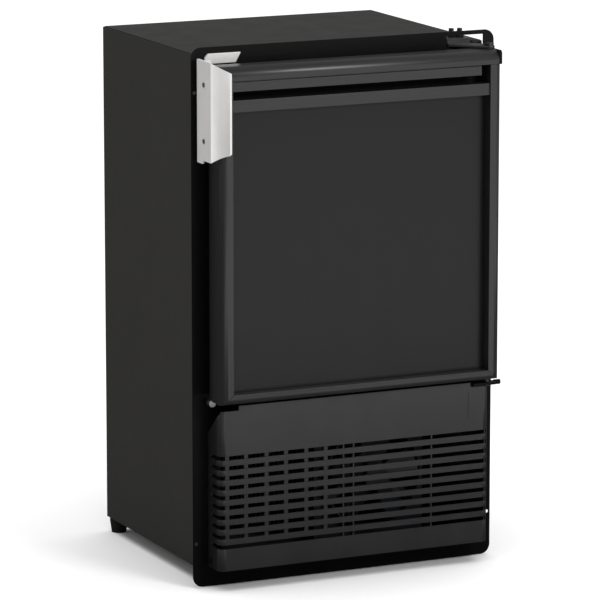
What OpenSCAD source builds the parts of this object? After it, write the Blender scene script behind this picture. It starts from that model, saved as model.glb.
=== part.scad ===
// Built-in crescent ice maker: flanged cabinet, framed door, ice-making module
// over a lift-out bin, and a sealed refrigeration deck behind a slotted grille.
// X runs to the right, Y towards the back and Z up, with the feet on Z = 0.

/* [Flange] */
// Width of the mounting flange
flange_w = 388; // [380:1:400]
// Height of the mounting flange
flange_h = 635; // [625:1:645]
// Thickness of the flange plate
flange_t = 1.5; // [1:0.1:2]
// Corner radius of the flange
flange_r = 12; // [6:1:16]
// Height of the flange's lower edge above the floor
flange_z = 1; // [0.5:0.1:2]
// Side-to-side distance between the fixing holes
hole_pitch_x = 380; // [376:1:382]
// Up-and-down distance between the fixing holes
hole_pitch_z = 531; // [500:1:550]
// Height of the lower fixing holes above the flange's lower edge
hole_low = 52; // [40:1:60]
// Diameter of the fixing holes
hole_dia = 4.4; // [4:0.1:4.6]

/* [Cabinet] */
// Width across the cabinet's sides
cabinet_w = 358; // [356:1:360]
// Depth from the flange to the cabinet's back
cabinet_d = 300; // [296:1:320]
// Height of the cabinet's underside above the floor
cabinet_z = 18; // [16:1:20]
// Height of the cabinet's top above the floor
cabinet_top = 624; // [623:1:626]
// Thickness of the cabinet's sheet metal
sheet_t = 1; // [0.8:0.1:1.2]
// Height of the deck that divides the ice store from the machinery
deck_z = 227; // [224:1:230]

/* [Ice store] */
// Width inside the ice store
store_w = 280; // [276:1:284]
// Depth of the ice store behind the flange
store_d = 250; // [246:1:252]
// Height of the store's floor
store_z = 260; // [256:1:264]
// Height of the store's ceiling
store_top = 592; // [588:1:594]
// Wall thickness of the plastic liner
liner_t = 2.5; // [2:0.1:3]

/* [Door] */
// Height of the door's lower edge
door_z = 226; // [225:1:228]
// Height of the door's upper edge
door_top = 618; // [617:1:619]
// Distance from the flange to the door's front face
door_front = 51; // [48:1:52]
// Distance from the flange to the back of the door's trim
trim_back = 20; // [18:1:21]
// Face width of the stiles
stile_w = 15; // [14:1:17]
// Face height of the bottom rail
rail_h = 12; // [11:1:14]
// Wall thickness of the trim extrusions
trim_t = 1.6; // [1.2:0.1:2]
// Outer corner radius of the trim extrusions
trim_r = 8; // [6:1:9]
// Distance from the flange to the face of the door panel
panel_front = 38; // [36:1:40]

/* [Hinges] */
// Distance from the cabinet's middle to the hinge pins
pin_x = 172.5; // [172:0.1:173]
// Distance from the flange to the hinge pins
pin_out = 30; // [30:0.5:32]
// Diameter of the hinge pins
pin_dia = 8; // [7:0.1:8]
// Radial running clearance of the hinge pins
pin_gap = 0.05; // [0.03:0.01:0.1]

/* [Handle] */
// Distance from the cabinet's middle to the handle's outer face
handle_x = 189; // [188:0.5:190]
// Height of the handle's lower end
handle_z = 505; // [495:1:510]
// Height of the handle's upper end
handle_top = 624; // [620:1:626]
// Distance from the flange to the tip of the handle's lip
handle_reach = 61; // [60:1:64]
// Wall thickness of the handle
handle_t = 3; // [2.5:0.1:3.5]

/* [Grille] */
// Width of the grille
grille_w = 350; // [346:1:352]
// Distance from the flange to the grille's front face
grille_d = 33; // [30:1:36]
// Height of the grille's lower edge
grille_z = 25.5; // [24:0.5:30]
// Height of the grille's upper edge
grille_top = 221; // [218:1:222]
// Number of slot rows
slot_rows = 10; // [6:1:11]
// Distance between slot rows
slot_pitch = 11.75; // [11:0.05:12]
// Height of a slot
slot_h = 5; // [4:0.1:6]
// Height of the middle of the top row
slot_first = 160; // [156:0.5:162]

/* [Ice module] */
// Number of crescent cells in the mould
cell_count = 8; // [6:1:8]
// Distance between cell centres
cell_pitch = 26; // [24:0.5:26]
// Radius of the crescent cells
cell_r = 26; // [25:0.5:27]
// Height of the ejector's axis
rake_z = 545; // [540:1:548]
// Distance from the flange back to the ejector's axis
rake_back = 200; // [196:1:204]
// Teeth on the ejector's gear
gear_teeth = 36; // [36:1:36]
// Teeth on the motor's pinion
pinion_teeth = 12; // [12:1:12]
// Gear module of the pair
gear_module = 1.25; // [1.25:0.05:1.25]

/* [Machinery] */
// Radius of the condenser fan
fan_r = 58; // [50:1:60]
// Number of fan blades
fan_blades = 5; // [4:1:6]
// Radius of the compressor's shell
compressor_r = 62; // [55:1:64]
// Height of the compressor's shell
compressor_h = 140; // [120:1:150]

/* [Hidden] */
$fn = 48;

// Depth is centred on Y = 0, from the handle's lip to the fittings on the back.
rear_fitting = 8;
front_y = (handle_reach - cabinet_d - rear_fitting) / 2;
back_y = front_y + cabinet_d;
half_w = cabinet_w / 2;
flange_top = flange_z + flange_h;
slack = 0.3;
// Radial gap of a pin or bush pressed into its hole.
fit_gap = 0.02;
// Distance from the flange to the stiffener behind the hinge window.
window_back = 6.5;

// Ice module
rake_y = front_y + rake_back;
mould_w = cell_count * cell_pitch + 4;
mould_x = -128;
mould_end = mould_x + mould_w;
mould_top = rake_z - 4.5;
mould_z = rake_z - cell_r - 9;
mould_half = 38;
shaft_r = 4;
housing_x = mould_end + 2;
housing_end = housing_x + 50;
housing_z = 505;
housing_top = 582;
gear_r = gear_module * gear_teeth / 2;
pinion_r = gear_module * pinion_teeth / 2;
pinion_y = rake_y - gear_r - pinion_r;
gear_x = housing_x + 7;
bail_y = rake_y - mould_half - 12;
bail_z = mould_z + 14;
bail_r = 1.6;
bail_drop = 76;

// Machinery
fan_x = 60;
fan_z = 100;
fan_y = front_y + 40;
compressor_x = 88;
compressor_y = front_y + 212;
foot_r = 11;
foot_x = half_w - foot_r;
foot_front_y = front_y + 22;
foot_rear_y = back_y - foot_r;
stem_r = 4;

// ---------------------------------------------------------------- helpers

module block(x, y, z)
    translate([x[0], y[0], z[0]]) cube([x[1] - x[0], y[1] - y[0], z[1] - z[0]]);

// A block given by its distances in front of the flange.
module front_block(x, out, z) block(x, [front_y - out[1], front_y - out[0]], z);

// A block given by its distances behind the flange.
module rear_block(x, back, z) block(x, [front_y + back[0], front_y + back[1]], z);

module rod_x(x, y, z, r) translate([x[0], y, z]) rotate([0, 90, 0]) cylinder(r = r, h = x[1] - x[0]);
module rod_y(x, y, z, r) translate([x, y[1], z]) rotate([90, 0, 0]) cylinder(r = r, h = y[1] - y[0]);
module rod_z(x, y, z, r) translate([x, y, z[0]]) cylinder(r = r, h = z[1] - z[0]);

// A hexagonal bolt head standing on z.
module hex_z(x, y, z, across, h) translate([x, y, z]) cylinder(r = across / sqrt(3), h = h, $fn = 6);

module limb(a, b, r) {
    v = b - a;
    translate(a) rotate([0, acos(v[2] / norm(v)), atan2(v[1], v[0])]) cylinder(r = r, h = norm(v), $fn = 24);
}

// A bent tube or wire through the points of a path.
module pipe(path, r) {
    for (i = [0 : len(path) - 2]) limb(path[i], path[i + 1], r);
    for (i = [1 : len(path) - 2]) translate(path[i]) sphere(r = 1.04 * r, $fn = 24);
}

module rounded_rect(w, h, r) {
    square([w - 2 * r, h], center = true);
    square([w, h - 2 * r], center = true);
    for (sx = [-1, 1], sy = [-1, 1]) translate([sx * (w / 2 - r), sy * (h / 2 - r)]) circle(r = r);
}

// An upright plate in the XZ plane, from y[0] to y[1], with rounded corners.
module wall_plate(w, z, y, r)
    translate([0, y[1], (z[0] + z[1]) / 2]) rotate([90, 0, 0])
        linear_extrude(height = y[1] - y[0]) rounded_rect(w, z[1] - z[0], r);

module tub(x, y, z, t, open) {
    difference() {
        block(x, y, z);
        if (open == "front") block([x[0] + t, x[1] - t], [y[0] - 1, y[1] - t], [z[0] + t, z[1] - t]);
        if (open == "top") block([x[0] + t, x[1] - t], [y[0] + t, y[1] - t], [z[0] + t, z[1] + 1]);
    }
}

// ---------------------------------------------------------------- cabinet

// Sides and upper back, bent from one sheet, with short returns under the top panel.
module cabinet_wrap() color("#343433") {
    y = [front_y + flange_t, back_y];
    for (s = [-1, 1]) {
        outer = s * half_w;
        inner = s * (half_w - sheet_t);
        edge = s * (half_w - 12);
        block([min(outer, inner), max(outer, inner)], y, [cabinet_z, cabinet_top - sheet_t]);
        block([min(inner, edge), max(inner, edge)], [y[0], y[1] - sheet_t],
              [cabinet_top - 2 * sheet_t, cabinet_top - sheet_t]);
    }
    block([-half_w + sheet_t, half_w - sheet_t], [back_y - sheet_t, back_y],
          [deck_z - sheet_t, cabinet_top - sheet_t]);
    // Stiffener behind the flange's hinge window.
    rear_block([130, half_w - sheet_t], [window_back, window_back + 1],
               [door_top - 4, cabinet_top - sheet_t]);
    // Deck between the store and the machinery, pierced for the three risers.
    difference() {
        block([-half_w + sheet_t, half_w - sheet_t], [y[0], back_y - sheet_t], [deck_z - sheet_t, deck_z]);
        riser_bores();
    }
}

module top_panel() color("#3e3e3e") {
    x = [-half_w + 1.5, half_w - 1.5];
    difference() {
        block(x, [front_y + flange_t, back_y - 1.5], [cabinet_top - sheet_t, cabinet_top]);
        rear_block([133, 165], [0, 5.5], [cabinet_top - 5, cabinet_top + 5]);
        for (p = hinge_bolt_places) rod_z(p[0], p[1], [cabinet_top - 5, cabinet_top + 5], 3.1);
    }
}

module base_pan() color("#2b2b2b") {
    x = [-half_w + sheet_t, half_w - sheet_t];
    y = [front_y + flange_t, back_y - 1.2];
    difference() {
        union() {
            block(x, y, [cabinet_z, cabinet_z + 1.5]);
            block(x, [y[0], y[0] + 1.5], [cabinet_z, cabinet_z + 10]);
            for (p = foot_places) rod_z(p[0], p[1], [cabinet_z, cabinet_z + 9], 7);
        }
        for (p = foot_places) rod_z(p[0], p[1], [cabinet_z - 1, cabinet_z + 20], stem_r + pin_gap);
    }
}

module foam_insulation() color("#e6d9a8") difference() {
    rear_block([-half_w + 1.2, half_w - 1.2], [flange_t, cabinet_d - 1.2], [deck_z, cabinet_top - 2.2]);
    rear_block([-store_w / 2 - liner_t, store_w / 2 + liner_t], [-1, store_d + liner_t],
               [store_z - liner_t, store_top + liner_t]);
    rear_block([129.7, 182], [0, window_back + 1.3], [door_top - 4.3, cabinet_top]);
    riser_bores();
}

module inner_liner() color("#eceef0") difference() {
    union() {
        tub([-store_w / 2 - liner_t, store_w / 2 + liner_t],
            [front_y, front_y + store_d + liner_t],
            [store_z - liner_t, store_top + liner_t], liner_t, "front");
        difference() {
            front_block([-165, 165], [0, 1.2], [239, 614]);
            front_block([-store_w / 2, store_w / 2], [-1, 2], [store_z, store_top]);
        }
    }
    riser_bores();
}

module front_flange() color("#141414") difference() {
    wall_plate(flange_w, [flange_z, flange_top], [front_y, front_y + flange_t], flange_r);
    rear_block([-store_w / 2 - liner_t, store_w / 2 + liner_t], [-1, 5],
               [store_z - liner_t, store_top + liner_t]);
    rear_block([-158, 158], [-1, 5], [34, 205]);
    rear_block([132, 180], [-1, 5], [door_top, 631]);
    for (sx = [-1, 1], z = [0, hole_pitch_z])
        rod_y(sx * hole_pitch_x / 2, [front_y - 5, front_y + 5], flange_z + hole_low + z, hole_dia / 2);
    for (p = bracket_bolt_places) rod_y(p[0], [front_y - 5, front_y + 5], p[1], 2.6);
    rod_y(plug_x, [front_y - 5, front_y + 5], plug_z, 2.6);
}

// Lower back cover with rows of vent slots, the gland's hole and the water fitting's hole.
module rear_cover() color("#2f2f2f") difference() {
    rear_block([-half_w + 1.5, half_w - 1.5], [cabinet_d - 1, cabinet_d], [cabinet_z + 2, deck_z - 1]);
    for (row = [0 : 7], x = [-95, -20, 55])
        rear_block([x, x + 60], [cabinet_d - 5, cabinet_d + 5], [70 + row * 17, 75 + row * 17]);
    rod_y(gland_x, [back_y - 5, back_y + 5], gland_z, 8.2);
    rod_y(valve_x, [back_y - 5, back_y + 5], valve_z, 7.5);
}

// Light plate closing the unused upper hinge place, cut on a slant at its inner end.
module keeper_plate() color("#b4b2b0")
    translate([0, front_y - 0.2, 0]) rotate([90, 0, 0]) linear_extrude(height = 3)
        polygon([[-178, 617], [-139.5, 617], [-133, 628.5], [-174, 628.5], [-178, 624]]);

// ---------------------------------------------------------------- hinges

hinge_bolt_places = [[147.5, front_y + 19], [157.5, front_y + 17]];
bracket_bolt_places = [[158, 209], [168, 209]];
plug_x = -175;
plug_z = 222;
hinge_top_z = door_top + 0.5;
bracket_z = 217;
pin_y = front_y - pin_out;

// Cranked plate: flat on the cabinet's top, down behind the flange, and out through its window.
module top_hinge_plate() color("#4a4a4a") difference() {
    union() {
        block([134, 164], [front_y + 2, front_y + 28], [cabinet_top, cabinet_top + 3]);
        block([134, 164], [front_y + 2, front_y + 5], [hinge_top_z, cabinet_top + 3]);
        translate([0, 0, hinge_top_z]) linear_extrude(height = 3) {
            polygon([[134, front_y + 5], [134, front_y - 1], [pin_x - 5, pin_y - 4],
                     [pin_x + 6, pin_y], [pin_x - 3, front_y - 1], [164, front_y + 5]]);
            translate([pin_x, pin_y]) circle(r = 6.5);
        }
    }
    rod_z(pin_x, pin_y, [hinge_top_z - 1, hinge_top_z + 5], pin_dia / 2 + fit_gap);
    for (p = hinge_bolt_places) rod_z(p[0], p[1], [cabinet_top - 1, cabinet_top + 5], 3.1);
}

module bottom_hinge_bracket() color("#1c1c1c") difference() {
    union() {
        block([152, 182], [pin_y - 7, front_y - 0.2], [bracket_z, bracket_z + 3]);
        block([152, 171.5], [front_y - 2.7, front_y - 0.2], [200, bracket_z + 3]);
        rod_x([182, 190], pin_y, bracket_z + 1.5, 3);
    }
    rod_z(pin_x, pin_y, [bracket_z - 1, bracket_z + 5], pin_dia / 2 + fit_gap);
    for (p = bracket_bolt_places) rod_y(p[0], [front_y - 5, front_y + 5], p[1], 2.6);
}

module hinge_pins() color("#8e9092") {
    rod_z(pin_x, pin_y, [door_top - 13, hinge_top_z + 3], pin_dia / 2);
    rod_z(pin_x, pin_y, [hinge_top_z + 3, hinge_top_z + 6], 5.5);
    rod_z(pin_x, pin_y, [bracket_z, door_z + 12], pin_dia / 2);
    rod_z(pin_x, pin_y, [bracket_z - 1.2, bracket_z], 5.5);
}

module hinge_bolts() color("#3a3a3a") {
    for (p = hinge_bolt_places) {
        rod_z(p[0], p[1], [cabinet_top - 2, cabinet_top + 3], 3);
        rod_z(p[0], p[1], [cabinet_top + 3, cabinet_top + 4.5], 4.9);
        hex_z(p[0], p[1], cabinet_top + 4.5, 9, 5);
        rod_z(p[0], p[1], [cabinet_top + 9.5, cabinet_top + 13], 3);
    }
    for (p = bracket_bolt_places) {
        rod_y(p[0], [front_y - 2.7, front_y + 6], p[1], 2.5);
        rod_y(p[0], [front_y - 5.2, front_y - 2.7], p[1], 4.2);
    }
}

module spare_hinge_plug() color("#c9cbcd") {
    rod_y(plug_x, [front_y - 8, front_y + 6], plug_z, 2.5);
    rod_y(plug_x, [front_y - 14, front_y - 8], plug_z, 4.2);
}

// ---------------------------------------------------------------- grille

module grille_plan(inset) {
    half = grille_w / 2 - inset;
    r = trim_r - inset;
    nose = front_y - grille_d + inset;
    translate([-half, nose + r]) square([2 * half, front_y - slack - nose - r]);
    translate([-half + r, nose]) square([2 * (half - r), r + 1]);
    for (s = [-1, 1]) translate([s * (half - r), nose + r]) circle(r = r);
}

module front_grille() color("#3c3b3c") {
    wall = 2.5;
    difference() {
        translate([0, 0, grille_z]) linear_extrude(height = grille_top - grille_z) grille_plan(0);
        translate([0, 0, grille_z + wall]) linear_extrude(height = grille_top) grille_plan(wall);
        front_block([-160, 160], [-1, 1.5], [grille_z + wall, grille_top + 1]);
        // The side walls' top edges slope down towards the flange.
        rotate([90, 0, 90]) linear_extrude(height = 2 * grille_w, center = true)
            polygon([[front_y - grille_d + wall, 213], [front_y + 1, 184],
                     [front_y + 1, grille_top + 1], [front_y - grille_d + wall, grille_top + 1]]);
        for (s = [-1, 1])
            front_block([s * 163 - 13, s * 163 + 13], [20, 40], [bracket_z - 1.5, grille_top + 1]);
        for (row = [0 : slot_rows - 1]) {
            z = slot_first - row * slot_pitch;
            front_block([-180, 172], [grille_d - wall - 1, 40], [z - slot_h / 2, z + slot_h / 2]);
            front_block([-180, -170], [8, 40], [z - slot_h / 2, z + slot_h / 2]);
        }
        rod_x([-grille_w, grille_w], front_y - grille_screw_out, grille_screw_z, 2);
    }
    for (x = [-164, -140, -114, -89, -63, -38]) grille_rib(x, 5, 57);
    for (x = [-15, -2, 100]) grille_rib(x, 1.8, 45);
    // Blank raised badge at the upper right.
    front_block([147, 174 - trim_r], [grille_d, grille_d + 0.5], [179, 211]);
}

module grille_rib(x, w, low) front_block([x - w / 2, x + w / 2], [grille_d - 8, grille_d - 2.5], [low, 166]);

grille_screw_z = 34;
grille_screw_out = 9;
module grille_screws() color("#222222") for (s = [-1, 1]) {
    y = front_y - grille_screw_out;
    translate([s * grille_w / 2, y, grille_screw_z]) rotate([0, s * 90, 0]) {
        cylinder(r = 3.2, h = 1.5);
        translate([0, 0, -10]) cylinder(r = 1.8, h = 10);
    }
}

// ---------------------------------------------------------------- feet

foot_places = [for (y = [foot_front_y, foot_rear_y], x = [-foot_x, foot_x]) [x, y]];

module foot(i) color("#1a1a1a") translate([foot_places[i][0], foot_places[i][1], 0]) {
    rotate_extrude() polygon([[0, 0], [foot_r - 2, 0], [foot_r, cabinet_z - 3], [foot_r, cabinet_z - 1.5],
                              [0, cabinet_z - 1.5]]);
    cylinder(r = stem_r, h = cabinet_z + 26);
}

// ---------------------------------------------------------------- machinery

module compressor() color("#1f1f1f") difference() {
    union() {
        compressor_shell(compressor_r, 0);
        // Feet of the shell on the four mounts.
        for (p = mount_places) rod_z(p[0], p[1], [cabinet_z + 14, cabinet_z + 17], 12);
        for (sx = [-1, 1])
            block([compressor_x + sx * 46 - 12, compressor_x + sx * 46 + 12],
                  [compressor_y - 46, compressor_y + 46], [cabinet_z + 14, cabinet_z + 17]);
    }
    compressor_shell(compressor_r - 8, 8);
    for (p = mount_places) rod_z(p[0], p[1], [cabinet_z, cabinet_z + 30], 5);
}

module compressor_shell(r, inset) {
    dome = 34;
    translate([compressor_x, compressor_y, cabinet_z + 12 + inset])
        rotate_extrude() intersection() {
            square([r, compressor_h - 2 * inset]);
            union() {
                square([r - dome, compressor_h - 2 * inset]);
                translate([0, dome]) square([r, compressor_h - 2 * inset - 2 * dome]);
                for (z = [dome, compressor_h - 2 * inset - dome]) translate([r - dome, z]) circle(r = dome);
            }
        }
}

mount_places = [for (sx = [-1, 1], sy = [-1, 1]) [compressor_x + sx * 46, compressor_y + sy * 46]];
module compressor_mounts() color("#151515") for (p = mount_places) difference() {
    union() {
        rod_z(p[0], p[1], [cabinet_z + 1.5, cabinet_z + 14], 9);
        rod_z(p[0], p[1], [cabinet_z + 14, cabinet_z + 19], 4.9);
    }
    rod_z(p[0], p[1], [cabinet_z, cabinet_z + 30], 2.5);
}

module terminal_cover() color("#202020")
    block([compressor_x - compressor_r - 26, compressor_x - compressor_r - 0.5],
          [compressor_y - 22, compressor_y + 22], [75, 130]);

// Finned block with serpentine tubes, whose return bends show at both ends.
module condenser() color("#77797a") {
    y = front_y + 112;
    difference() {
        block([-150, 19], [y - 16, y + 16], [34, 178]);
        for (x = [-148 : 6 : 14], s = [-1, 1])
            block([x, x + 4.5], [y + s * 12 - 5, y + s * 12 + 5], [30, 182]);
    }
    for (i = [0 : 5]) {
        z = 46 + 24 * i;
        translate([-150, y, z]) rotate([0, 0, 90]) return_bend(8);
        for (s = [-1, 1]) rod_x([18, 24], y + 8 * s, z, 4);
    }
    for (i = [0 : 4])
        translate([24, y + (i % 2 == 0 ? -8 : 8), 58 + 24 * i]) rotate([90, 0, -90]) rotate([0, 0, 90])
            return_bend(12);
    block([-170, -166], [y - 18, y + 18], [cabinet_z + 1.5, 182]);
    for (z = [58, 154]) block([-166, -149], [y - 4, y + 4], [z - 2, z + 2]);
}

// Half ring of tube in the XY plane, bulging towards +Y.
module return_bend(r) rotate_extrude(angle = 180) translate([r, 0]) circle(r = 4, $fn = 24);

module fan_shroud() color("#7d848c") difference() {
    y = front_y + 58;
    union() {
        block([-12, 132], [y, y + 1.2], [cabinet_z + 1.5, 176]);
        rod_y(fan_x, [y - 14, y], fan_z, fan_r + 5);
    }
    rod_y(fan_x, [y - 20, y + 5], fan_z, fan_r + 3);
}

// Motor on a three-legged bracket bolted to the shroud.
module fan_motor() color("#4c4f52") {
    y = front_y + 66;
    difference() {
        union() {
            rod_y(fan_x, [y, y + 34], fan_z, 24);
            for (a = [90, 210, 330]) rotate_about(fan_x, fan_z, a)
                block([fan_x + 20, fan_x + fan_r + 8], [y + 2, y + 4], [fan_z - 5, fan_z + 5]);
            for (a = [90, 210, 330]) rotate_about(fan_x, fan_z, a)
                block([fan_x + fan_r + 4, fan_x + fan_r + 8], [front_y + 59.2, y + 4], [fan_z - 5, fan_z + 5]);
        }
        rod_y(fan_x, [y - 1, y + 14], fan_z, 3.05);
    }
}

module rotate_about(x, z, a) translate([x, 0, z]) rotate([0, -a, 0]) translate([-x, 0, -z]) children();

module fan_blade() color("#8f9aa6") {
    difference() {
        rod_y(fan_x, [fan_y - 6, fan_y + 12], fan_z, 15);
        rod_y(fan_x, [fan_y - 4, fan_y + 9], fan_z, 12.5);
    }
    rod_y(fan_x, [fan_y + 12, front_y + 76], fan_z, 3);
    for (i = [0 : fan_blades - 1]) rotate_about(fan_x, fan_z, 90 + i * 360 / fan_blades)
        translate([fan_x + 13, fan_y + 3, fan_z]) rotate([62, 0, 0])
            linear_extrude(height = 1.6, center = true)
                polygon([[0, -7], [12, -14], [34, -19], [41, -15], [43.5, 0], [40, 14], [20, 12], [0, 7]]);
}

module filter_drier() color("#b3713f") {
    rod_z(-140, front_y + 205, [60, 150], 11);
    rod_z(-140, front_y + 205, [50, 60], 5);
    rod_z(-140, front_y + 205, [150, 160], 5);
}

// Suction, liquid and water risers run up inside the back insulation, then forward to the mould.
riser_y = front_y + 275;
coil_z = mould_z - 4.3;
suction_x = 58;
liquid_x = 42;
fill_x = -133.5;
fill_z = 556;

module riser_bores()
    for (p = [[suction_x, coil_z], [liquid_x, coil_z], [fill_x, fill_z]]) {
        rod_z(p[0], riser_y, [deck_z - 5, p[1] + 5], 5.2);
        rod_y(p[0], [front_y + store_d - 6, riser_y], p[1], 5);
    }

module refrigerant_lines() color("#b87540") {
    top = cabinet_z + 12 + compressor_h;
    coil_y = front_y + store_d - 4;
    pipe([[compressor_x, compressor_y, top], [compressor_x, compressor_y, 192], [suction_x, riser_y, 192],
          [suction_x, riser_y, coil_z], [suction_x, coil_y, coil_z]], 4);
    pipe([[-140, front_y + 205, 160], [-140, front_y + 205, 186], [liquid_x, riser_y, 186],
          [liquid_x, riser_y, coil_z], [liquid_x, coil_y, coil_z]], 4);
    pipe([[-140, front_y + 205, 50], [-140, front_y + 205, 26], [36, front_y + 120, 26],
          [36, front_y + 120, 46], [24, front_y + 120, 46]], 3);
    pipe([[50, compressor_y - 51, 110], [44, front_y + 150, 130], [40, front_y + 140, 150],
          [40, front_y + 120, 166], [24, front_y + 120, 166]], 3);
}

valve_x = -110;
valve_z = 60;
module water_valve() color("#d8d8d2") {
    rod_y(valve_x, [back_y - 24, back_y + rear_fitting], valve_z, 6.35);
    block([valve_x - 14, valve_x + 14], [back_y - 50, back_y - 24], [valve_z - 14, valve_z + 14]);
    rod_z(valve_x, back_y - 37, [valve_z + 14, valve_z + 48], 15);
    block([valve_x - 16, valve_x - 13], [back_y - 50, back_y - 2], [cabinet_z + 1.5, valve_z - 14]);
    block([valve_x - 16, valve_x - 12], [back_y - 50, back_y - 24], [valve_z - 15, valve_z - 10]);
}

module fill_line() color("#e8e8e4")
    pipe([[valve_x, back_y - 37, valve_z + 48], [valve_x, back_y - 37, valve_z + 70],
          [fill_x, riser_y, deck_z - 40], [fill_x, riser_y, fill_z], [fill_x, rake_y + 10, fill_z]], 4);

gland_x = 130;
gland_z = 42;
module cord_gland() color("#101010") difference() {
    union() {
        rod_y(gland_x, [back_y, back_y + 6], gland_z, 11);
        rod_y(gland_x, [back_y - 8, back_y], gland_z, 8);
    }
    rod_y(gland_x, [back_y - 10, back_y + 8], gland_z, 4);
}

// ---------------------------------------------------------------- ice module

module ice_mould() color("#a9abad") difference() {
    union() {
        block([mould_x, mould_end], [rake_y - mould_half, rake_y + mould_half], [mould_z, mould_top]);
        for (x = [mould_x + 20, mould_end - 40])
            block([x, x + 16], [rake_y + mould_half, front_y + store_d], [mould_z + 14, mould_z + 26]);
        block([mould_x, mould_x + 3], [rake_y - 8, rake_y + 8], [mould_top, rake_z + 8]);
    }
    rod_x([mould_x - 1, mould_x + 4], rake_y, rake_z, shaft_r + pin_gap);
    for (i = [0 : cell_count - 1]) {
        x = mould_x + 2 + i * cell_pitch;
        rod_x([x + 1.5, x + cell_pitch - 1.5], rake_y, rake_z, cell_r);
    }
}

module evaporator_coil() color("#b87540") {
    z = coil_z;
    coil_y = front_y + store_d - 4;
    pipe([[liquid_x, coil_y, z], [liquid_x, rake_y + 20, z], [mould_x + 14, rake_y + 20, z],
          [mould_x + 14, rake_y - 20, z], [66, rake_y - 20, z], [66, rake_y + 10, z],
          [suction_x, rake_y + 16, z], [suction_x, coil_y, z]], 4);
}

// Comb over the mould: its fingers stand over the cell walls, between the ejector blades.
module stripper() color("#dfe2e4") {
    z = [mould_top, mould_top + 2.5];
    block([mould_x, mould_end], [rake_y - mould_half - 4, rake_y - cell_r - 4], z);
    for (i = [1 : cell_count]) {
        x = mould_x + 2 + i * cell_pitch;
        block([max(mould_x, x - 4), min(mould_end, x + 4)], [rake_y - cell_r - 4, rake_y - shaft_r - 1], z);
    }
    block([mould_x, mould_end], [rake_y - mould_half - 6, rake_y - mould_half - 4], [mould_top - 16, z[1]]);
}

module ejector_rake() color("#e9e9e6") {
    rod_x([mould_x - 1, gear_x], rake_y, rake_z, shaft_r);
    rod_x([gear_x, gear_x + 11], rake_y, rake_z, shaft_r);
    for (i = [0 : cell_count - 1]) {
        x = mould_x + 2 + (i + 0.5) * cell_pitch;
        block([x - 2.5, x + 2.5], [rake_y - 3, rake_y + 3], [rake_z, rake_z + cell_r - 3]);
    }
}

// Spur gear with trapezoid teeth, axis along X, with a tooth centred on `phase`.
module spur_gear(teeth, thickness, bore, phase) {
    r = gear_module * teeth / 2;
    tip = r + 0.9 * gear_module;
    root = r - 1.15 * gear_module;
    w_tip = gear_module * 0.65;
    w_root = gear_module * 1.75;
    rotate([90, 0, 90]) linear_extrude(height = thickness) difference() {
        union() {
            circle(r = root);
            for (i = [0 : teeth - 1]) rotate(phase + i * 360 / teeth)
                polygon([[root - 0.3, -w_root / 2], [tip, -w_tip / 2],
                         [tip, w_tip / 2], [root - 0.3, w_root / 2]]);
        }
        if (bore > 0) circle(r = bore);
    }
}

module rake_gear() color("#f0f0ea") translate([gear_x, rake_y, rake_z]) spur_gear(gear_teeth, 7, shaft_r, 0);

// The pinion presents a gap to the gear's tooth on the line between the centres.
module motor_pinion() color("#d6c9a0") {
    translate([gear_x, pinion_y, rake_z]) spur_gear(pinion_teeth, 7, 0, 180 / pinion_teeth);
    rod_x([gear_x + 7, gear_x + 16], pinion_y, rake_z, 2.5);
}

module drive_housing() color("#e4e6e8") difference() {
    y = [rake_y - 56, rake_y + 42];
    tub([housing_x, housing_end], y, [housing_z, housing_top], 2, "front");
    rod_x([housing_x - 1, housing_x + 3], rake_y, rake_z, shaft_r + pin_gap);
    rod_x([housing_x - 1, housing_x + 3], bail_y, bail_z, bail_r + pin_gap);
}

module drive_cover() color("#e4e6e8") difference() {
    y = rake_y - 56;
    block([housing_x, housing_end], [y - 5, y], [housing_z, housing_top]);
    block([housing_x + 2, housing_end - 2], [y - 3, y + 1], [housing_z + 2, housing_top - 2]);
}

module drive_motor() color("#8b8d8f") difference() {
    union() {
        rod_x([gear_x + 14, gear_x + 38], pinion_y + 8, rake_z, 20);
        block([gear_x + 14, gear_x + 16], [pinion_y - 14, rake_y + 40], [rake_z - 8, rake_z + 8]);
    }
    rod_x([gear_x + 13, gear_x + 30], pinion_y, rake_z, 2.55);
    rod_x([gear_x + 13, gear_x + 20], rake_y, rake_z, 6);
}

module fill_cup() color("#e4e6e8") difference() {
    union() {
        block([mould_x - 11, mould_x - 1.4], [rake_y - 26, rake_y + 30], [mould_top - 22, 568]);
        block([mould_x - 11, mould_x - 5], [bail_y - 7, rake_y - 26], [bail_z - 7, bail_z + 7]);
    }
    rod_x([mould_x - 12, mould_x], bail_y, bail_z, bail_r + pin_gap);
    block([mould_x - 9, mould_x - 0.5], [rake_y - 8, rake_y + 24], [rake_z + 4.5, 570]);
    rod_y(fill_x, [rake_y + 8, rake_y + 40], fill_z, 4.3);
}

// Wire arm hanging in front of the mould; it feels how full the bin is.
module bail_arm() color("#c4c6c8") {
    x = [mould_x - 8, mould_x + 3, housing_x - 4, housing_x + 1.5];
    pipe([[x[3], bail_y, bail_z], [x[2], bail_y, bail_z], [x[2], bail_y - 2, bail_z - bail_drop],
          [x[1], bail_y - 2, bail_z - bail_drop], [x[1], bail_y, bail_z], [x[0], bail_y, bail_z]], bail_r);
}

// ---------------------------------------------------------------- ice bin

module ice_bin() color("#f2f4f5")
    tub([-132, 132], [front_y + 16, front_y + 226], [store_z + slack, 425], 2.5, "top");

// ---------------------------------------------------------------- door

// Black ring behind the trim; its back carries the gasket.
module door_pan() color("#1b1b1b") difference() {
    front_block([-half_w + 2, half_w - 2], [10.5, trim_back], [door_z + 2, door_top - 2]);
    front_block([-150, 150], [0, 60], [255, 589]);
    front_block([-half_w + 4, half_w - 4], [12.5, 60], [door_z + 4, door_top - 4]);
}

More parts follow.
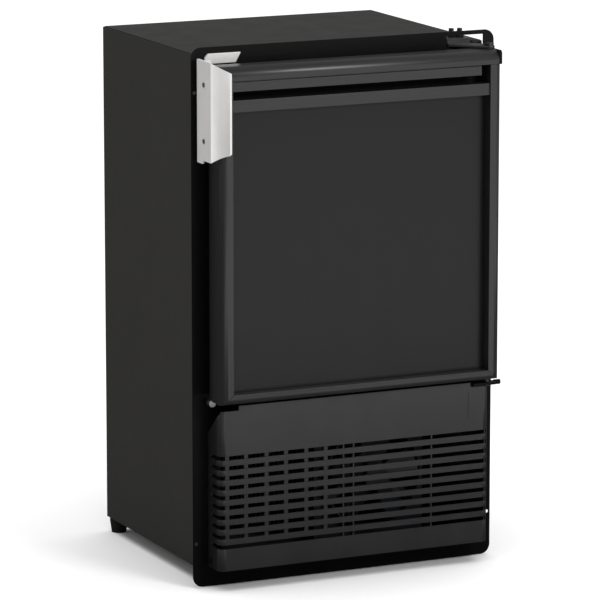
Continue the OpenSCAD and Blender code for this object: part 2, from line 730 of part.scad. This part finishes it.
// White inner face with a shallow raised field.
module door_liner() color("#eceef0") difference() {
    union() {
        front_block([-149.8, 149.8], [10.5, 12.5], [255.2, 588.8]);
        front_block([-132, 132], [8, 11], [270, 582]);
    }
    front_block([-130, 130], [10, 13], [272, 580]);
}

module door_core() color("#e6d9a8") {
    front_block([-half_w + 4.5, half_w - 4.5], [12.6, trim_back], [door_z + 4.5, door_top - 4.5]);
    front_block([-stile_inner + 0.4, stile_inner - 0.4], [trim_back, panel_front - 3],
                [door_z + rail_h + 0.4, mid_z]);
}

module door_gasket() color("#242424") difference() {
    front_block([-164, 164], [1.6, 10.5], [240, 612.5]);
    front_block([-151, 151], [0, 12], [253, 599.5]);
}

stile_inner = half_w - stile_w;
top_rail_z = door_top - 16;
mid_z = 566;
mid_top = 580;
strip_z = 590;

// Trim section: x is the distance in from the outer edge, y the distance forward of trim_back.
module trim_section(w) {
    d = door_front - trim_back;
    difference() {
        trim_outline(w, d, trim_r);
        translate([trim_t, trim_t]) trim_outline(w - 2 * trim_t, d - 2 * trim_t, trim_r - trim_t);
    }
}

module trim_outline(w, d, r) {
    translate([r, 0]) square([w - r, d]);
    square([w, d - r]);
    intersection() {
        translate([r, d - r]) circle(r = r);
        translate([0, d - r]) square([r, r]);
    }
}

// Everything below the diagonal of the lower left corner, where stile and rail meet.
module mitre_wedge()
    translate([-half_w, front_y + door_front, door_z]) rotate([90, 0, 0]) linear_extrude(height = 4 * door_front)
        polygon([[0, 0], [2 * stile_w, 2 * rail_h], [2 * stile_w, -10], [-5, -10], [-5, 0]]);

// Radius of the hinge bushes, and thickness and corner radius of the top rail's end caps.
bush_r = 4.8;
cap_t = 3.5;
cap_r = 4;

// The left stile; the right one is its mirror image.
module stile() difference() {
    translate([-half_w, front_y - trim_back, door_z]) mirror([0, 1, 0])
        linear_extrude(height = top_rail_z - door_z) trim_section(stile_w);
    mitre_wedge();
}

module left_stile() color("#2c2b2c") difference() {
    stile();
    for (z = handle_screw_zs) rod_x([-half_w - 1, -half_w + 5], front_y - handle_screw_out, z, 2.1);
}

module right_stile() color("#2c2b2c") difference() {
    mirror([1, 0, 0]) stile();
    rod_z(pin_x, pin_y, [door_z - 1, door_z + 20], bush_r);
}

module bottom_rail() color("#2c2b2c") difference() {
    translate([-half_w, front_y - trim_back, door_z]) rotate([90, 0, 90])
        linear_extrude(height = cabinet_w) rotate(90) trim_section(rail_h);
    for (side = [0, 1]) mirror([side, 0, 0]) difference() {
        front_block([-half_w - 1, -stile_inner], [0, door_front + 1], [door_z - 1, door_z + rail_h + 1]);
        mitre_wedge();
    }
    rod_z(pin_x, pin_y, [door_z - 1, door_z + 20], bush_r);
}

module top_rail() color("#2c2b2c") difference() {
    r = 11;
    length = cabinet_w - 2 * cap_t;
    translate([-length / 2, 0, 0]) rotate([90, 0, 90]) linear_extrude(height = length) difference() {
        top_rail_outline(0, r);
        top_rail_outline(trim_t, r);
    }
    rod_z(pin_x, pin_y, [door_top - 5, door_top + 5], bush_r);
    lip_relief();
}

// The rail's left end is cut back where the handle's lip passes in front of it.
module lip_relief() front_block([-half_w - 1, -half_w + 5], [46, 60], [top_rail_z - 1, door_top + 1]);

module top_rail_outline(inset, r) {
    back = front_y - trim_back - inset;
    front = front_y - door_front + inset;
    translate([front, top_rail_z + inset]) square([back - front, door_top - r - top_rail_z - inset]);
    translate([front + r - inset, top_rail_z + inset])
        square([back - front - r + inset, door_top - top_rail_z - 2 * inset]);
    intersection() {
        translate([front_y - door_front + r, door_top - r]) circle(r = r - inset);
        translate([front, door_top - r]) square([r, r]);
    }
}

module rail_end_caps() color("#0f0f0f") difference() {
    for (x = [-half_w, half_w - cap_t]) translate([x, 0, 0]) rotate([90, 0, 90]) linear_extrude(height = cap_t)
        top_rail_outline(0, cap_r);
    lip_relief();
    rod_z(pin_x, pin_y, [door_top - 20, door_top + 5], bush_r + fit_gap);
}

module mid_rail() color("#2c2b2c") difference() {
    front_block([-stile_inner, stile_inner], [panel_front - 3, door_front - 2], [mid_z, mid_top]);
    front_block([-stile_inner - 1, stile_inner + 1], [panel_front - 4, door_front - 2 - trim_t],
                [mid_z + trim_t, mid_top - trim_t]);
}

module header_strip() color("#2c2b2c") {
    front_block([-stile_inner, 153], [door_front - 3, door_front - 1], [strip_z, top_rail_z - 1.2]);
    front_block([-stile_inner, 153], [door_front - 5, door_front - 3], [strip_z, top_rail_z]);
    front_block([-stile_inner, 153], [27, door_front - 5], [strip_z, strip_z + 1.6]);
}

// Dark channel behind the header strip, forming the pull recess.
module recess_channel() color("#070707") {
    front_block([-stile_inner, stile_inner], [22, 24], [mid_z, top_rail_z]);
    front_block([-stile_inner, stile_inner], [24, panel_front - 3], [mid_z, mid_z + 1.6]);
}

module door_panel() color("#2e2e2e")
    front_block([-stile_inner, stile_inner], [panel_front - 3, panel_front], [door_z + rail_h, mid_z]);

module door_bushes() color("#d9d9d2") {
    difference() {
        rod_z(pin_x, pin_y, [door_top - 14.4, door_top + 0.2], bush_r);
        rod_z(pin_x, pin_y, [door_top - 13.4, door_top + 1], pin_dia / 2 + pin_gap);
    }
    difference() {
        rod_z(pin_x, pin_y, [door_z - 0.5, door_z + 13.5], bush_r);
        rod_z(pin_x, pin_y, [door_z - 1, door_z + 12.5], pin_dia / 2 + pin_gap);
    }
}

// ---------------------------------------------------------------- handle

handle_screw_zs = [531.5, 596.5];
handle_screw_out = 25;
// The lip's visible face is an arc between two angles; it leaves the side plate at lip_start.
lip_r = 29.3;
lip_from = -68;
lip_to = -20.2;
lip_centre = [-handle_x - lip_r * cos(lip_from), handle_reach - lip_r * sin(lip_to)];
lip_start = lip_centre[1] + lip_r * sin(lip_from);
// Height by which the lower end's front part stops short of its rear part.
heel = 4;

// Side plate with a scooped lip; the lip's ends are cut back on a slant and the lower end has a notch.
module handle() color("#c9c8c7") difference() {
    translate([0, front_y, handle_z]) mirror([0, 1, 0]) linear_extrude(height = handle_top - handle_z) {
        translate([-handle_x, 5]) square([handle_t, lip_start - 7]);
        translate([-handle_x, trim_back]) square([handle_x - half_w, 18]);
        intersection() {
            translate(lip_centre) difference() {
                circle(r = lip_r + handle_t);
                circle(r = lip_r);
            }
            polygon([lip_centre, lip_centre + 2 * lip_r * [cos(lip_from - 4), sin(lip_from - 4)],
                     lip_centre + 3 * lip_r * [cos(-45), sin(-45)],
                     lip_centre + 2 * lip_r * [cos(lip_to), sin(lip_to)]]);
            translate([-handle_x, 0]) square([handle_x, 100]);
        }
    }
    lip_cut(handle_top, -1);
    lip_cut(handle_z + heel, 1);
    front_block([-handle_x - 1, -half_w + 1], [26, 70], [handle_z - 1, handle_z + heel]);
    rod_x([-handle_x - 1, -half_w + 1], front_y - 23, handle_z + 1, 4);
    for (z = handle_screw_zs) rod_x([-handle_x - 1, -half_w + 1], front_y - handle_screw_out, z, 2.1);
}

module lip_cut(z, up)
    translate([0, front_y - 24, 0]) rotate([90, 0, 0]) linear_extrude(height = 50)
        polygon([[-handle_x, z], [-handle_x + 25, z + up * 15], [-handle_x + 25, z - up * 6], [-handle_x, z - up * 6]]);

module handle_screws() color("#9fa1a3") for (z = handle_screw_zs) {
    rod_x([-handle_x - 0.9, -handle_x], front_y - handle_screw_out, z, 2.8);
    rod_x([-handle_x, -half_w + 4], front_y - handle_screw_out, z, 2);
}

// ---------------------------------------------------------------- assembly

cabinet_wrap();
top_panel();
base_pan();
foam_insulation();
inner_liner();
front_flange();
rear_cover();
keeper_plate();
top_hinge_plate();
bottom_hinge_bracket();
hinge_pins();
hinge_bolts();
spare_hinge_plug();
front_grille();
grille_screws();
compressor();
compressor_mounts();
terminal_cover();
condenser();
fan_shroud();
fan_motor();
filter_drier();
refrigerant_lines();
water_valve();
fill_line();
cord_gland();
ice_mould();
evaporator_coil();
stripper();
drive_housing();
drive_cover();
drive_motor();
fill_cup();
door_pan();
door_liner();
door_core();
door_gasket();
left_stile();
right_stile();
top_rail();
bottom_rail();
mid_rail();
header_strip();
recess_channel();
door_panel();
rail_end_caps();
door_bushes();
handle();
handle_screws();
ejector_rake();
rake_gear();
motor_pinion();
bail_arm();
fan_blade();
ice_bin();
foot(0);  // foot_front_left
foot(1);  // foot_front_right
foot(2);  // foot_rear_left
foot(3);  // foot_rear_right
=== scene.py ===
import math

import bpy
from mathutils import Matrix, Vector

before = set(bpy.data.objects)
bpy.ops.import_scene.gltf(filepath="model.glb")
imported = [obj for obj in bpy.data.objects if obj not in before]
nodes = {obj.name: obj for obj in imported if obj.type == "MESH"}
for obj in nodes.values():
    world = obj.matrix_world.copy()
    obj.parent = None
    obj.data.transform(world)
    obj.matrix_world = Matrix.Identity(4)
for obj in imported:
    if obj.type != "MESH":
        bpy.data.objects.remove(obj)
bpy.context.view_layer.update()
scene = bpy.context.scene
MM = 0.001


# ---------------------------------------------------------------- camera, light and floor

# Place in metres, pitch below the horizon and yaw towards +X in degrees, lens and sensor in millimetres.
CAMERA_PLACE = (-2.175, -4.6925, 1.332)
CAMERA_PITCH = 11.23
CAMERA_YAW = 24.87
CAMERA_LENS = 264.4
CAMERA_SENSOR = 36


def make_camera():
    data = bpy.data.cameras.new("camera")
    data.lens = CAMERA_LENS
    data.sensor_width = CAMERA_SENSOR
    data.clip_start = 0.1
    data.clip_end = 60
    camera = bpy.data.objects.new("camera", data)
    camera.location = CAMERA_PLACE
    camera.rotation_euler = (math.radians(90 - CAMERA_PITCH), 0, math.radians(-CAMERA_YAW))
    scene.collection.objects.link(camera)
    scene.camera = camera


def area_light(name, place, target, size, power):
    """A rectangular light at place, facing target; size in metres and power in watts."""
    data = bpy.data.lights.new(name, "AREA")
    data.shape = "RECTANGLE"
    data.size, data.size_y = size
    data.energy = power
    light = bpy.data.objects.new(name, data)
    light.location = place
    light.rotation_euler = (Vector(target) - Vector(place)).to_track_quat("-Z", "Y").to_euler()
    scene.collection.objects.link(light)


def make_world(strength):
    world = bpy.data.worlds.new("studio")
    world.use_nodes = True
    world.node_tree.nodes["Background"].inputs["Color"].default_value = (1, 1, 1, 1)
    world.node_tree.nodes["Background"].inputs["Strength"].default_value = strength
    scene.world = world


def sun_light(name, strength, spread):
    """Even light from straight above that reflections don't see; spread in degrees."""
    data = bpy.data.lights.new(name, "SUN")
    data.energy = strength
    data.angle = math.radians(spread)
    sun = bpy.data.objects.new(name, data)
    sun.visible_glossy = False
    scene.collection.objects.link(sun)


def make_studio():
    make_world(0.36)
    sun_light("overhead", 2.6, 70)
    area_light("key", (0.9, -2.6, 1.7), (0, 0, 0.4), (0.9, 0.7), 38)
    area_light("side_fill", (-2.6, 0.6, 1.7), (0, 0, 0.45), (0.9, 0.9), 5)
    scene.view_settings.view_transform = "Standard"


def flat_piece(name, patches, height):
    """One level mesh of separate rectangles, each given as ((x from, x to), (y from, y to))."""
    corners = []
    faces = []
    for (x0, x1), (y0, y1) in patches:
        first = len(corners)
        corners += [(x0, y0, 0), (x1, y0, 0), (x1, y1, 0), (x0, y1, 0)]
        faces.append(range(first, first + 4))
    mesh = bpy.data.meshes.new(name)
    mesh.from_pydata(corners, [], faces)
    obj = bpy.data.objects.new(name, mesh)
    obj.location.z = height
    scene.collection.objects.link(obj)
    return obj


FLOOR_REACH = 16
FLOOR_DROP = 0.0002
CARD_DROP = 0.0001
# In front of CARD_FRONT and to the right of CARD_LEFT, reflections see the pale floor itself.
CARD_FRONT = -0.8
CARD_LEFT = -0.6


def make_floor():
    """A plain pale floor under the feet, and dark cards over it that only reflections see: painted shade in
    the floor's reflections.
    """
    reach = FLOOR_REACH
    floor = flat_piece("floor", [((-reach, reach), (-reach, reach))], -FLOOR_DROP)
    look = Look("floor", (0.95, 0.95, 0.95), 0.8, specular=0.0)
    look.tint(look.noise(0.8, 2), 0.99, 1.0)
    floor.data.materials.append(look.material)
    behind = ((-reach, reach), (CARD_FRONT, reach))
    left = ((-reach, CARD_LEFT), (-reach, CARD_FRONT))
    # The dark cards are painted shade that reflections see in place of the pale floor, behind CARD_FRONT and
    # left of CARD_LEFT.
    cards = flat_piece("floor_painted_reflection_shade", [behind, left], -CARD_DROP)
    look = Look("floor_painted_reflection_shade", (0.06, 0.06, 0.06), 0.9, specular=0.0)
    look.tint(look.noise(0.8, 2), 0.97, 1.03)
    cards.data.materials.append(look.material)
    for ray in ("camera", "diffuse", "shadow", "transmission", "volume_scatter"):
        setattr(cards, "visible_" + ray, False)


# ---------------------------------------------------------------- materials

# The part of its 0 to 1 range that noise mostly stays in.
NOISE_SPAN = (0.3, 0.7)


class Look:
    """A material whose nodes are laid out in the model's own coordinates, in metres."""

    def __init__(self, name, colour, roughness, metallic=0.0, specular=0.5):
        self.material = bpy.data.materials.new(name)
        self.material.use_nodes = True
        self.tree = self.material.node_tree
        self.shader = self.tree.nodes["Principled BSDF"]
        self.colour = colour
        self.shader.inputs["Base Color"].default_value = (*colour, 1)
        self.shader.inputs["Roughness"].default_value = roughness
        self.shader.inputs["Metallic"].default_value = metallic
        self.shader.inputs["Specular IOR Level"].default_value = specular
        self.roughness = roughness
        self.place = self.tree.nodes.new("ShaderNodeTexCoord").outputs["Object"]
        self.normal = None

    def link(self, a, b):
        self.tree.links.new(a, b)

    def noise(self, size, detail=3.0, stretch=(1, 1, 1), offset=0.0):
        """Noise with features of about size metres, drawn out by stretch along each axis."""
        mapping = self.tree.nodes.new("ShaderNodeMapping")
        mapping.inputs["Scale"].default_value = [1 / (size * s) for s in stretch]
        mapping.inputs["Location"].default_value = (offset, offset, offset)
        texture = self.tree.nodes.new("ShaderNodeTexNoise")
        texture.inputs["Scale"].default_value = 1.0
        texture.inputs["Detail"].default_value = detail
        self.link(self.place, mapping.inputs["Vector"])
        self.link(mapping.outputs["Vector"], texture.inputs["Vector"])
        return texture.outputs["Fac"]

    def ranged(self, value, low, high):
        """Noise from NOISE_SPAN mapped to the range from low to high."""
        node = self.tree.nodes.new("ShaderNodeMapRange")
        node.inputs["From Min"].default_value = NOISE_SPAN[0]
        node.inputs["From Max"].default_value = NOISE_SPAN[1]
        node.inputs["To Min"].default_value = low
        node.inputs["To Max"].default_value = high
        self.link(value, node.inputs["Value"])
        return node.outputs["Result"]

    def tint(self, value, darker, lighter):
        """The base colour drifts between darker and lighter times itself."""
        ramp = self.tree.nodes.new("ShaderNodeValToRGB")
        for stop, position, factor in zip(ramp.color_ramp.elements, NOISE_SPAN, (darker, lighter)):
            stop.position = position
            stop.color = (*(min(1, c * factor) for c in self.colour), 1)
        self.link(value, ramp.inputs["Fac"])
        self.link(ramp.outputs["Color"], self.shader.inputs["Base Color"])
        return self

    def gloss(self, value, spread):
        """The roughness drifts by spread either way."""
        result = self.ranged(value, self.roughness - spread, self.roughness + spread)
        self.link(result, self.shader.inputs["Roughness"])
        return self

    def bump(self, value, depth):
        """Relief of depth metres at the texture's extremes."""
        node = self.tree.nodes.new("ShaderNodeBump")
        node.inputs["Distance"].default_value = depth
        self.link(value, node.inputs["Height"])
        if self.normal is not None:
            self.link(self.normal, node.inputs["Normal"])
        self.normal = node.outputs["Normal"]
        self.link(self.normal, self.shader.inputs["Normal"])
        return self


def painted(name, colour, roughness=0.45, specular=0.3, peel=0.00004, drift=0.06):
    """Baked enamel on sheet steel: orange peel, and a faint drift of tone and gloss."""
    look = Look(name, colour, roughness, specular=specular)
    look.tint(look.noise(0.12, 4), 1 - drift, 1 + drift)
    look.gloss(look.noise(0.03, 5, offset=3.1), drift)
    look.bump(look.noise(0.0016, 2, offset=1.7), peel)
    return look


DIE_LINE_STRETCH = 90


def extruded(name, colour, axis, roughness, specular):
    """Anodised aluminium with fine die lines along one axis (0 is X, 2 is Z)."""
    stretch = [1, 1, 1]
    stretch[axis] = DIE_LINE_STRETCH
    look = Look(name, colour, roughness, specular=specular)
    look.tint(look.noise(0.0011, 3, stretch), 0.86, 1.14)
    look.gloss(look.noise(0.0016, 4, stretch, offset=2.3), 0.07)
    look.bump(look.noise(0.0007, 2, stretch, offset=5.9), 0.00001)
    return look


def satin(name, colour, roughness):
    """Fine-blasted, clear-anodised aluminium: bright, even and without any lines."""
    look = Look(name, colour, roughness, metallic=0.35, specular=0.5)
    look.tint(look.noise(0.06, 4), 0.97, 1.03)
    look.gloss(look.noise(0.02, 4, offset=6.1), 0.04)
    look.bump(look.noise(0.0006, 2, offset=3.3), 0.000006)
    return look


def moulded(name, colour, roughness=0.5, specular=0.4, grain=0.00003, size=0.0009, drift=0.08):
    """Moulded plastic with a fine spark-eroded grain."""
    look = Look(name, colour, roughness, specular=specular)
    look.tint(look.noise(0.05, 3), 1 - drift, 1 + drift)
    look.gloss(look.noise(0.02, 4, offset=4.4), drift * 0.6)
    look.bump(look.noise(size, 3, offset=0.9), grain)
    return look


def metal(name, colour, roughness=0.35, grain=0.00002, size=0.001):
    """Bare or plated metal with slight stains and a fine, uneven finish."""
    look = Look(name, colour, roughness, metallic=1.0)
    look.tint(look.noise(0.02, 4), 0.82, 1.1)
    look.gloss(look.noise(0.006, 4, offset=7.7), 0.09)
    look.bump(look.noise(size, 3, offset=2.2), grain)
    return look


LOOKS = {
    "black_cabinet": painted("black_cabinet", (0.031, 0.0302, 0.0285), 0.5, 0.14, drift=0.03),
    # The top panel's copy of the cabinet paint is darker and duller than the sides': painted shade on the
    # top. It is the same enamel as the sides.
    "cabinet_top": painted("cabinet_top", (0.021, 0.0208, 0.02), 0.5, 0.06, drift=0.03),
    # Black enamel, darkened far below the other black paints: painted shade for the door's shadow on the
    # flange and the shade in the step beside the door.
    "black_flange": painted("black_flange", (0.0022, 0.0021, 0.0021), 0.42, 0.11),
    # The rails' copy of the trim look is a little lighter than the stiles': painted light on the level faces.
    # The die lines along X are real.
    "black_trim": extruded("black_trim", (0.0128, 0.0126, 0.0126), 2, 0.34, 0.46),
    "black_rail_painted_light": extruded("black_rail_painted_light", (0.0142, 0.0134, 0.0135), 0, 0.36, 0.44),
    "black_panel": painted("black_panel", (0.0052, 0.0052, 0.0052), 0.3, 0.24, 0.00001, 0.015),
    "black_plastic": moulded("black_plastic", (0.0103, 0.0096, 0.01), 0.4, 0.62),
    "deep_black": moulded("deep_black", (0.003, 0.003, 0.003), 0.6, 0.1),
    "handle_metal": satin("handle_metal", (0.74, 0.73, 0.722), 0.42),
    "white_liner": moulded("white_liner", (0.78, 0.79, 0.8), 0.3, 0.5, 0.00002, 0.002, 0.02),
    "white_bin": moulded("white_bin", (0.74, 0.77, 0.79), 0.42, 0.4, drift=0.025),
    "foam": moulded("foam", (0.72, 0.6, 0.33), 0.85, 0.2, 0.0003, 0.0016),
    "gasket_rubber": moulded("gasket_rubber", (0.012, 0.012, 0.012), 0.6, 0.3),
    "foot_rubber": moulded("foot_rubber", (0.008, 0.008, 0.008), 0.62, 0.3),
    "zinc_steel": metal("zinc_steel", (0.36, 0.36, 0.355), 0.42),
    "dark_steel": metal("dark_steel", (0.06, 0.06, 0.06), 0.42),
    "hinge_steel": painted("hinge_steel", (0.02, 0.02, 0.02), 0.38, 0.5),
    "compressor_black": painted("compressor_black", (0.01, 0.01, 0.01), 0.3, 0.5),
    # Near-black metal: the condenser's tone is deepened as painted shade for the dim compartment behind the
    # grille.
    "condenser_metal": metal("condenser_metal", (0.03, 0.031, 0.033), 0.5),
    "copper": metal("copper", (0.75, 0.34, 0.17), 0.32),
    "fan_plastic": moulded("fan_plastic", (0.013, 0.0165, 0.023), 0.5),
    "motor_metal": metal("motor_metal", (0.12, 0.12, 0.125), 0.45),
    "mould_metal": metal("mould_metal", (0.5, 0.51, 0.52), 0.5, 0.00005, 0.0012),
    "white_plastic": moulded("white_plastic", (0.74, 0.75, 0.76), 0.42),
    "gear_plastic": moulded("gear_plastic", (0.7, 0.66, 0.5), 0.4),
    "wire_metal": metal("wire_metal", (0.6, 0.61, 0.62), 0.22),
}


# Level trim: these nodes take the lighter copy of the trim paint, painted light on their front faces, with
# die lines along X.
LEVEL_TRIM = ("top_rail", "bottom_rail", "mid_rail", "header_strip")


def paint_nodes():
    """Each CAD node takes the look of its slot in the record; the top panel takes a darker copy of the
    cabinet paint, as painted shade, and the level trim takes a lighter copy of the trim paint, as painted
    light, with its die lines along X.
    """
    for obj in nodes.values():
        for i, slot in enumerate(obj.material_slots):
            name = slot.material.name.split(".")[0]
            if name in LOOKS:
                obj.material_slots[i].material = LOOKS[name].material
            else:
                print("no look for", obj.name, name)
    # The top panel takes the darker copy of the cabinet paint, as painted shade.
    nodes["top_panel"].material_slots[0].material = LOOKS["cabinet_top"].material
    for name in LEVEL_TRIM:
        nodes[name].material_slots[0].material = LOOKS["black_rail_painted_light"].material


def soften(obj, width, angle=35, segments=2):
    """Rounds a node's sharp edges by width, in metres, so that they catch the light."""
    weld = obj.modifiers.new("weld", "WELD")
    weld.merge_threshold = 0.00001
    bevel = obj.modifiers.new("edges", "BEVEL")
    bevel.width = width
    bevel.segments = segments
    bevel.limit_method = "ANGLE"
    bevel.angle_limit = math.radians(angle)
    bevel.harden_normals = True


# Rounding of sharp edges, in millimetres.
EDGE = {
    "front_flange": 0.4, "front_grille": 0.6, "keeper_plate": 0.5,
    "top_hinge_plate": 0.5, "bottom_hinge_bracket": 0.5, "handle": 0.5, "left_stile": 0.4, "right_stile": 0.4,
    "top_rail": 0.4, "bottom_rail": 0.4, "mid_rail": 0.4, "header_strip": 0.3, "door_panel": 0.3,
    "ice_bin": 0.9, "drive_housing": 1.2, "drive_cover": 1.0, "ice_mould": 0.6,
}


def soften_nodes():
    for name, width in EDGE.items():
        soften(nodes[name], width * MM)


make_camera()
make_studio()
make_floor()
paint_nodes()
soften_nodes()
